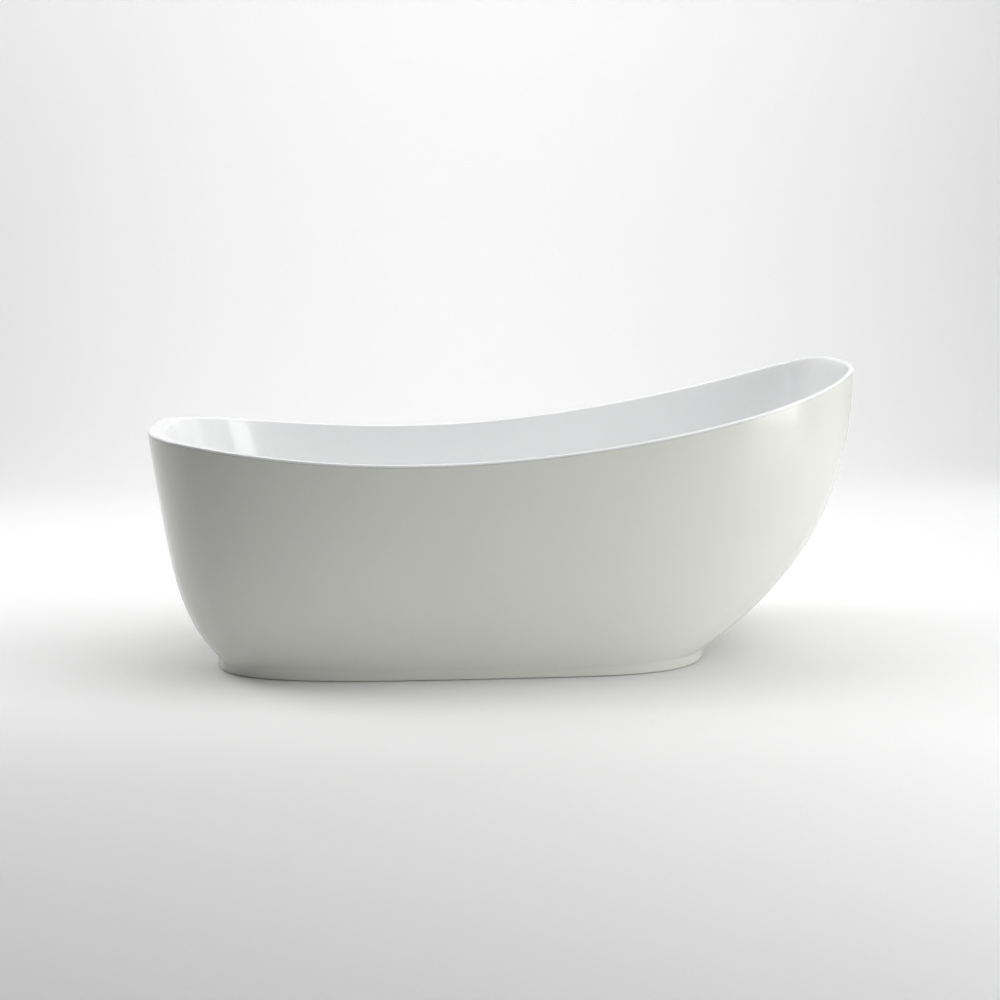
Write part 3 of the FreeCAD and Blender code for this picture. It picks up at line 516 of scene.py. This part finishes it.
def particle_board():
    """Raw particle board: pressed flakes of several wood tones, rough to the touch."""
    look = Shading("board", (0.45, 0.32, 0.18), 0.85)
    flakes_per_metre = 190.0
    lay = look.stretched((1.0, 0.45, 1.6))
    look.vary_colour(look.cells(flakes_per_metre, lay, "Color"),
                     (0.1, (0.28, 0.17, 0.08)), (0.45, (0.47, 0.33, 0.18)),
                     (0.75, (0.58, 0.44, 0.27)), (0.95, (0.66, 0.54, 0.36)))
    look.vary_roughness(look.noise(300.0, detail=3.0), 0.72, 0.95)
    look.bump(look.cells(flakes_per_metre, lay, "Distance"), depth=0.0003, strength=0.7)
    look.bump(look.noise(800.0, detail=4.0), depth=0.0001, strength=0.6)
    return look.material


def chopped_laminate():
    """Chopped-strand laminate: straw-coloured resin over crossing glass fibres."""
    look = Shading("laminate", (0.62, 0.60, 0.46), 0.4, Coat_Weight=0.3, Coat_Roughness=0.2)
    along, across = [look.noise(70.0, detail=4.0, place=look.stretched(lay), distortion=1.5)
                     for lay in ((0.25, 6.0, 1.0), (6.0, 0.25, 1.0))]
    look.vary_colour(along, (NOISE_LOW, (0.50, 0.48, 0.34)), (NOISE_HIGH, (0.70, 0.69, 0.56)))
    look.vary_roughness(across, 0.3, 0.55)
    look.bump(along, depth=0.0004, strength=0.6)
    look.bump(across, depth=0.0004, strength=0.6)
    return look.material


def cured_adhesive():
    """Seam adhesive: off-white, smeared and slightly glossy."""
    look = Shading("adhesive", (0.72, 0.70, 0.64), 0.5)
    look.vary_colour(look.noise(18.0, detail=4.0), (NOISE_LOW, (0.64, 0.61, 0.54)),
                     (NOISE_HIGH, (0.76, 0.75, 0.70)))
    look.vary_roughness(look.noise(40.0, detail=4.0), 0.35, 0.6)
    smears = look.noise(60.0, detail=3.0, place=look.stretched((0.4, 0.4, 3.0)))
    look.bump(smears, depth=0.0008, strength=0.6)
    return look.material


MATERIALS = {
    # The skirt is the same white acrylic as the basin; its darker, slightly yellower colour is
    # painted shade of the outer wall.
    "skirt_acrylic": acrylic("skirt_acrylic", (0.715, 0.719, 0.672), (0.735, 0.739, 0.692)),
    "basin_acrylic": acrylic("basin_acrylic", (0.860, 0.863, 0.868), (0.880, 0.883, 0.886)),
    "adhesive": cured_adhesive(),
    "laminate": chopped_laminate(),
    "board": particle_board(),
    "frame_paint": powder_coat(),
    "zinc": zinc_plate(),
    "chrome": chrome_plate(),
    "brass": turned_brass(),
    "rubber": moulded("rubber", (0.014, 0.014, 0.014), (0.026, 0.026, 0.026), 0.7),
    "black_plastic": moulded("black_plastic", (0.020, 0.020, 0.022), (0.034, 0.034, 0.036),
                             0.48),
    "waste_plastic": moulded("waste_plastic", (0.70, 0.70, 0.67), (0.76, 0.76, 0.74), 0.3),
    "hose_plastic": moulded("hose_plastic", (0.30, 0.31, 0.33), (0.38, 0.39, 0.41), 0.45),
}


# ---- pieces that replace CAD nodes ---------------------------------------------------
def finish_piece(piece, body, slot, *replaced):
    piece.data.materials.append(MATERIALS[slot])
    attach(piece, body)
    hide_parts(*replaced)


def overflow_frame():
    """Matrix that puts the upright axis square to the foot wall at the overflow."""
    def wall_x(z):
        return body_point(math.pi, z, basin_insets(z)).x
    step = 0.0005
    lean = (wall_x(OVERFLOW_HEIGHT + step) - wall_x(OVERFLOW_HEIGHT - step)) / (2 * step)
    normal = Vector((1.0, 0.0, -lean)).normalized()
    place = Matrix.Translation((wall_x(OVERFLOW_HEIGHT), 0.0, OVERFLOW_HEIGHT))
    return place @ Vector((0, 0, 1)).rotation_difference(normal).to_matrix().to_4x4()


def bore_overflow_hole(piece):
    """Cut the round overflow hole through the foot wall."""
    place = overflow_frame()
    vertices = [place @ circle_point(0.0, 0.0, OVERFLOW_HOLE, angle, z)
                for z in (-OVERFLOW_REACH, OVERFLOW_REACH)
                for angle in circle_angles(HOLE_AROUND)]
    faces = ring_faces(2, HOLE_AROUND, False)
    faces += [tuple(range(HOLE_AROUND))[::-1], tuple(range(HOLE_AROUND, 2 * HOLE_AROUND))]
    drill = mesh_object("overflow_drill", vertices, faces)
    cut = piece.modifiers.new("overflow_hole", "BOOLEAN")
    cut.operation = "DIFFERENCE"
    cut.object = drill
    cut.solver = "EXACT"
    apply_modifiers(piece)
    bpy.data.objects.remove(drill)


def apply_modifiers(piece):
    bpy.context.view_layer.update()
    evaluated = piece.evaluated_get(bpy.context.evaluated_depsgraph_get())
    mesh = bpy.data.meshes.new_from_object(evaluated)
    piece.modifiers.clear()
    piece.data = mesh


def make_shells():
    skirt = lofted("skirt", skirt_rings())
    finish_piece(skirt, "root", "skirt_acrylic", "outer_shell")
    basin = lofted("basin", basin_rings())
    bore_overflow_hole(basin)
    finish_piece(basin, "root", "basin_acrylic", "inner_shell")


def hose_line():
    """Points of the overflow hose's centre line, read from a spline on its route."""
    tail_low, tail_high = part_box("tailpiece")
    hose_low, hose_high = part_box("overflow_hose")
    down = overflow_frame().to_3x3() @ Vector((1.0, 0.0, 0.0))
    # the hose's cut end is square to the wall, so its top edge and its axis are a radius apart
    top = Vector((hose_low[0] + HOSE_RADIUS * abs(down.z), 0.0,
                  hose_high[2] - HOSE_RADIUS * abs(down.x)))
    end = Vector((tail_low[0] / 2 + tail_high[0] / 2, 0.0, hose_low[2]))
    route = [top, top + down * HOSE_LEAD, HOSE_ROUTE_MIDDLE, end + Vector((0, 0, HOSE_RISE)),
             end]
    data = bpy.data.curves.new("hose_route", "CURVE")
    data.dimensions = "3D"
    data.resolution_u = 40
    spline = data.splines.new("NURBS")
    spline.points.add(len(route) - 1)
    for point, place in zip(spline.points, route):
        point.co = (*place, 1.0)
    spline.order_u = 3
    spline.use_endpoint_u = True
    holder = bpy.data.objects.new("hose_route", data)
    bpy.context.scene.collection.objects.link(holder)
    bpy.context.view_layer.update()
    line = bpy.data.meshes.new_from_object(holder)
    points = [vertex.co.copy() for vertex in line.vertices]
    bpy.data.objects.remove(holder)
    return points


def resampled(points, step):
    """(point, direction) pairs at even steps along the same line."""
    lengths = [(b - a).length for a, b in zip(points, points[1:])]
    total = sum(lengths)
    count = int(total / step)
    spaced = []
    run = 0
    before = 0.0
    for k in range(count + 1):
        along = total * k / count
        while run < len(lengths) - 1 and before + lengths[run] < along:
            before += lengths[run]
            run += 1
        share = min(1.0, (along - before) / lengths[run])
        direction = (points[run + 1] - points[run]).normalized()
        spaced.append((points[run].lerp(points[run + 1], share), direction))
    return spaced


def hose_ring(centre, direction, radius):
    """Ring of points square to the hose's centre line, which stays in the middle plane."""
    side = Vector((0.0, 1.0, 0.0))
    up = side.cross(direction)
    return [centre + (side * math.cos(angle) + up * math.sin(angle)) * radius
            for angle in circle_angles(HOSE_AROUND)]


def make_hose():
    """Corrugated hose with round ribs, open at both ends."""
    steps_per_rib = 6
    spaced = resampled(hose_line(), HOSE_RIB_PITCH / steps_per_rib)
    rings = []
    for index, (centre, direction) in enumerate(spaced):
        # 0 in a groove, 1 on top of a rib
        rib = 0.5 - 0.5 * math.cos(2 * math.pi * index / steps_per_rib)
        rings.append(hose_ring(centre, direction, HOSE_RADIUS - HOSE_RIB_DEPTH * (1 - rib)))
    rings += [hose_ring(centre, direction, HOSE_BORE)
              for centre, direction in spaced[::-steps_per_rib]]
    hose = lofted("corrugated_hose", rings)
    finish_piece(hose, "root", "hose_plastic", "overflow_hose")


def thread_radius(below, above, turn):
    """Radius of a stud at a share of a turn, with this much of it below and above."""
    phase = (below / THREAD_PITCH - turn) % 1.0
    crest = min(1.0, max(0.0, FLANK_TOP - FLANK_SLOPE * abs(phase - 0.5)))
    chamfer = max(0.0, STUD_CHAMFER - min(below, above))
    return STUD_RADIUS - max(THREAD_DEPTH * (1 - crest), chamfer)


def make_stud(foot):
    """Levelling stud with a rolled thread, chamfered ends and a spanner collar."""
    low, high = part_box(foot + "_stud")
    x = (low[0] + high[0]) / 2
    y = (low[1] + high[1]) / 2
    steps_per_turn = 8
    count = round((high[2] - low[2]) / THREAD_PITCH * steps_per_turn)
    vertices = [Vector((x, y, low[2]))] * STUD_AROUND
    for k in range(count + 1):
        z = low[2] + (high[2] - low[2]) * k / count
        for j in range(STUD_AROUND):
            turn = j / STUD_AROUND
            radius = thread_radius(z - low[2], high[2] - z, turn)
            vertices.append(circle_point(x, y, radius, 2 * math.pi * turn, z))
    vertices += [Vector((x, y, high[2]))] * STUD_AROUND
    faces = ring_faces(len(vertices) // STUD_AROUND, STUD_AROUND, False)
    first = len(vertices)
    corner = COLLAR_FLATS / 2 / math.cos(math.pi / 6)
    bottom, top = COLLAR_Z
    collar = [(STUD_RADIUS * COLLAR_INSIDE, bottom), (corner - COLLAR_BEVEL, bottom),
              (corner, bottom + COLLAR_BEVEL), (corner, top - COLLAR_BEVEL),
              (corner - COLLAR_BEVEL, top), (STUD_RADIUS * COLLAR_INSIDE, top)]
    for radius, z in collar:
        vertices += [circle_point(x, y, radius, math.pi / 3 * k, z) for k in range(6)]
    faces += [tuple(first + index for index in face)
              for face in ring_faces(len(collar), 6, True)]
    stud = mesh_object(foot + "_threaded_stud", vertices, faces, smooth_angle=30.0)
    weld_points(stud)
    finish_piece(stud, foot + "_stud", "zinc", foot + "_stud")


def weld_points(piece):
    """Join points that lie on each other, as at the ends of a stud."""
    work = bmesh.new()
    work.from_mesh(piece.data)
    bmesh.ops.remove_doubles(work, verts=work.verts, dist=STUD_POINT_GAP)
    work.to_mesh(piece.data)
    work.free()


# ---- CAD nodes that stay -------------------------------------------------------------
# Width of the rounded edge that each finish gives to a node's sharp edges.
SOFTENED = {
    "frame_paint": 0.0012,
    "zinc": 0.0004,
    "chrome": 0.0006,
    "brass": 0.0005,
    "rubber": 0.0004,
    "black_plastic": 0.0008,
    "waste_plastic": 0.0008,
    "board": 0.0005,
    "laminate": 0.0008,
}


def dress_cad_nodes():
    """Give each CAD node its finish, and round its sharp edges slightly."""
    for subpart in frame["record"]["subparts"]:
        node = frame["nodes"][subpart["node"]]
        slot = subpart["material_slot"]
        for holder in node.material_slots:
            holder.material = MATERIALS[slot]
        if slot in SOFTENED and not node.hide_render:
            weld = node.modifiers.new("join", "WELD")
            weld.merge_threshold = CAD_POINT_GAP
            bevel = node.modifiers.new("edges", "BEVEL")
            bevel.width = SOFTENED[slot]
            bevel.segments = 2
            bevel.limit_method = "ANGLE"
            bevel.angle_limit = math.radians(35)
            bevel.use_clamp_overlap = True
            normals = node.modifiers.new("normals", "WEIGHTED_NORMAL")
            normals.weight = 100
            normals.keep_sharp = True


# ---- floor, light and camera ---------------------------------------------------------
def make_stage():
    """Studio: a pale floor that sweeps up into the wall behind the bathtub, and plain walls
    on the other three sides."""
    steps = 24
    profile = [(STAGE_FRONT, STAGE_HEIGHT), (STAGE_FRONT, 0.0), (STAGE_BACK, 0.0)]
    profile += [(STAGE_BACK + STAGE_CURVE * math.sin(a), STAGE_CURVE * (1 - math.cos(a)))
                for a in [math.pi / 2 * k / steps for k in range(1, steps + 1)]]
    profile.append((STAGE_BACK + STAGE_CURVE, STAGE_HEIGHT))
    vertices = [(x, y, z) for y, z in profile for x in (-STAGE_HALF_WIDTH, STAGE_HALF_WIDTH)]
    faces = [(2 * k, 2 * k + 1, 2 * k + 3, 2 * k + 2) for k in range(len(profile) - 1)]
    faces += [tuple(range(0, len(vertices), 2)), tuple(range(1, len(vertices), 2))]
    stage = mesh_object("studio_cove", vertices, faces)
    look = Shading("studio_paint", STUDIO_PAINT, 0.9)
    look.vary_roughness(look.noise(3.0, detail=4.0), 0.85, 0.95, start=0.0, end=1.0)
    stage.data.materials.append(look.material)


def area_light(name, location, target, size, power):
    data = bpy.data.lights.new(name, "AREA")
    data.shape = "RECTANGLE"
    data.size, data.size_y = size
    data.energy = power
    light = bpy.data.objects.new(name, data)
    light.location = location
    aim = Vector(target) - Vector(location)
    light.rotation_euler = aim.to_track_quat("-Z", "Y").to_euler()
    bpy.context.scene.collection.objects.link(light)


def make_camera():
    data = bpy.data.cameras.new("camera")
    data.lens = CAMERA_LENS
    camera = bpy.data.objects.new("camera", data)
    forward = Vector((math.sin(CAMERA_AZIMUTH), math.cos(CAMERA_AZIMUTH), 0.0))
    right = Vector((forward.y, -forward.x, 0.0))
    height = Vector((0, 0, CAMERA_HEIGHT))
    camera.location = right * CAMERA_SIDESTEP - forward * CAMERA_DISTANCE + height
    camera.rotation_euler = (math.pi / 2 - CAMERA_TILT, 0.0, -CAMERA_AZIMUTH)
    bpy.context.scene.collection.objects.link(camera)
    bpy.context.scene.camera = camera


# Softboxes as (name, place, aim, width and height, watts).
SOFTBOXES = (
    ("overhead", (0.0, 0.0, 3.0), (0.0, 0.0, 0.0), (3.0, 1.2), 36),
    ("overhead_head", (1.8, -0.8, 2.8), (0.3, 0.3, 0.4), (1.5, 1.5), 30),
    ("head_end", (2.8, -2.2, 1.15), (0.4, 0.0, 0.4), (1.2, 1.8), 31),
    ("head_high_front", (2.4, -2.4, 2.0), (0.5, 0.0, 0.4), (1.6, 1.6), 6),
    ("head_low", (2.6, -2.2, 0.5), (0.5, 0.0, 0.3), (1.2, 0.8), 14),
    ("head_rear", (2.6, 1.9, 1.6), (0.4, 0.0, 0.5), (1.2, 1.8), 6),
    ("foot_high", (-2.2, 0.6, 2.2), (0.6, 0.1, 0.6), (1.0, 1.0), 25),
    ("foot_rear", (-2.6, 1.8, 1.6), (-0.5, 0.0, 0.5), (1.2, 1.8), 5),
    ("foot_side", (-3.0, 0.1, 1.0), (-0.5, 0.0, 0.4), (1.0, 1.6), 2),
    ("backdrop_wash", (0.0, 1.5, 3.6), (0.0, 5.0, 1.2), (9.0, 1.0), 150),
)


def make_world():
    world = bpy.data.worlds.new("studio")
    world.use_nodes = True
    background = world.node_tree.nodes["Background"]
    background.inputs["Color"].default_value = (1.0, 1.0, 1.0, 1.0)
    background.inputs["Strength"].default_value = WORLD_STRENGTH
    bpy.context.scene.world = world


make_shells()
make_hose()
for foot_name in ("foot_end_front", "foot_end_back", "head_end_front", "head_end_back"):
    make_stud(foot_name)
dress_cad_nodes()
make_stage()
make_camera()
for softbox in SOFTBOXES:
    area_light(*softbox)
make_world()
bpy.context.scene.view_settings.view_transform = "Standard"
